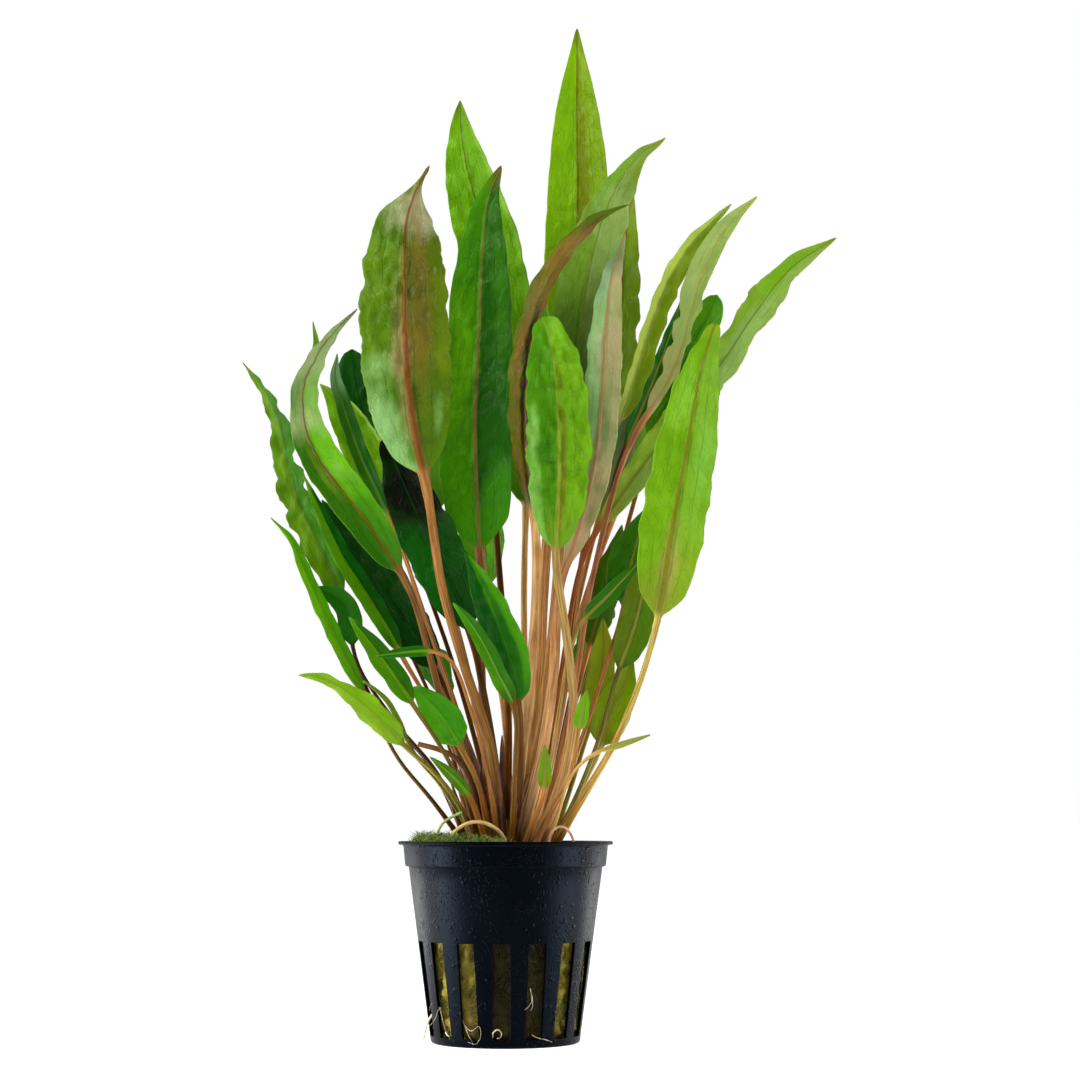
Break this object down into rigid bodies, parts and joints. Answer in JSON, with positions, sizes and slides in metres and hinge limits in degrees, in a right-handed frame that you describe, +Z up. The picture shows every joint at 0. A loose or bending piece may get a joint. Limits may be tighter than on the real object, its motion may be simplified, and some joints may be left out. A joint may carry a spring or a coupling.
{
  "type": "potted cryptocoryne",
  "caption": "Aquarium plant with long-stalked lance-shaped leaves in greens and bronze, rooted in rock wool in a slotted black net pot.",
  "frame": {"origin": "centre of the pot's underside, on the pot's axis", "axes": "+Z up along the pot's axis; the picture looks along +Y, with +X to its right"},
  "size_m": [0.1593, 0.0958, 0.2767],
  "materials": {
    "pot": "satin",
    "rock_wool": "matte",
    "moss": "matte",
    "crown": "matte",
    "root_tan": "satin",
    "root_pale": "satin",
    "leaf_bright": "satin",
    "leaf_bronze": "satin",
    "leaf_bronze_green": "satin",
    "leaf_dark": "satin",
    "leaf_deep": "satin",
    "leaf_fresh": "satin",
    "leaf_grey_green": "satin",
    "leaf_grey_pink": "satin",
    "leaf_olive": "satin",
    "leaf_olive_green": "satin",
    "leaf_olive_tan": "satin",
    "leaf_pale": "satin",
    "leaf_pale_right": "satin",
    "leaf_shade": "satin",
    "leaf_yellow_green": "satin"
  },
  "bodies": {
    "root": {"pot": "pot", "rock_wool": "rock_wool", "moss": "moss", "crown": "crown", "root_arch_tan": "root_tan", "root_arch_green": "root_tan", "root_curl_right": "root_tan", "root_low_left": "root_pale", "leaf_tall_centre": "leaf_bright", "leaf_right_curl": "leaf_fresh", "leaf_olive_strip": "leaf_olive", "leaf_bronze_arch": "leaf_bronze", "leaf_front_centre": "leaf_bright", "leaf_dark_green": "leaf_dark", "leaf_behind_left": "leaf_bright", "leaf_large_bronze": "leaf_bronze_green", "leaf_left_arch": "leaf_pale", "leaf_far_left": "leaf_olive_green", "leaf_left_strap": "leaf_bright", "leaf_small_curled": "leaf_dark", "leaf_low_left": "leaf_yellow_green", "leaf_low_thin": "leaf_yellow_green", "leaf_mid_left_strap": "leaf_deep", "leaf_small_flat": "leaf_deep", "leaf_green_strap": "leaf_deep", "leaf_low_bright": "leaf_bright", "leaf_low_small": "leaf_deep", "leaf_cut_stub": "leaf_olive", "leaf_folded_dark": "leaf_dark", "leaf_dark_round": "leaf_dark", "leaf_spotted_left": "leaf_yellow_green", "leaf_behind_arch": "leaf_fresh", "leaf_shaded_left": "leaf_shade", "leaf_shaded_low": "leaf_shade", "leaf_low_centre_dark": "leaf_deep", "leaf_low_centre_bright": "leaf_bright", "leaf_right_front": "leaf_yellow_green", "leaf_right_far": "leaf_pale_right", "leaf_grey_pink": "leaf_grey_pink", "leaf_tan_fold": "leaf_olive_tan", "leaf_tall_right": "leaf_grey_green", "leaf_dark_strip": "leaf_dark", "leaf_right_rounded": "leaf_deep", "leaf_blue_grey": "leaf_grey_green", "leaf_green_behind": "leaf_deep", "leaf_grey_low": "leaf_grey_green", "leaf_dark_strap": "leaf_dark", "leaf_olive_low": "leaf_olive", "leaf_yellow_low": "leaf_yellow_green", "leaf_yellow_low_front": "leaf_yellow_green", "leaf_thin_right": "leaf_deep", "leaf_small_centre": "leaf_deep", "leaf_small_right": "leaf_deep", "leaf_back_centre": "leaf_fresh", "leaf_back_left": "leaf_fresh", "leaf_back_right": "leaf_bright", "leaf_back_low_left": "leaf_deep", "leaf_back_low_right": "leaf_deep", "leaf_back_mid": "leaf_fresh"}
  },
  "joints": []
}
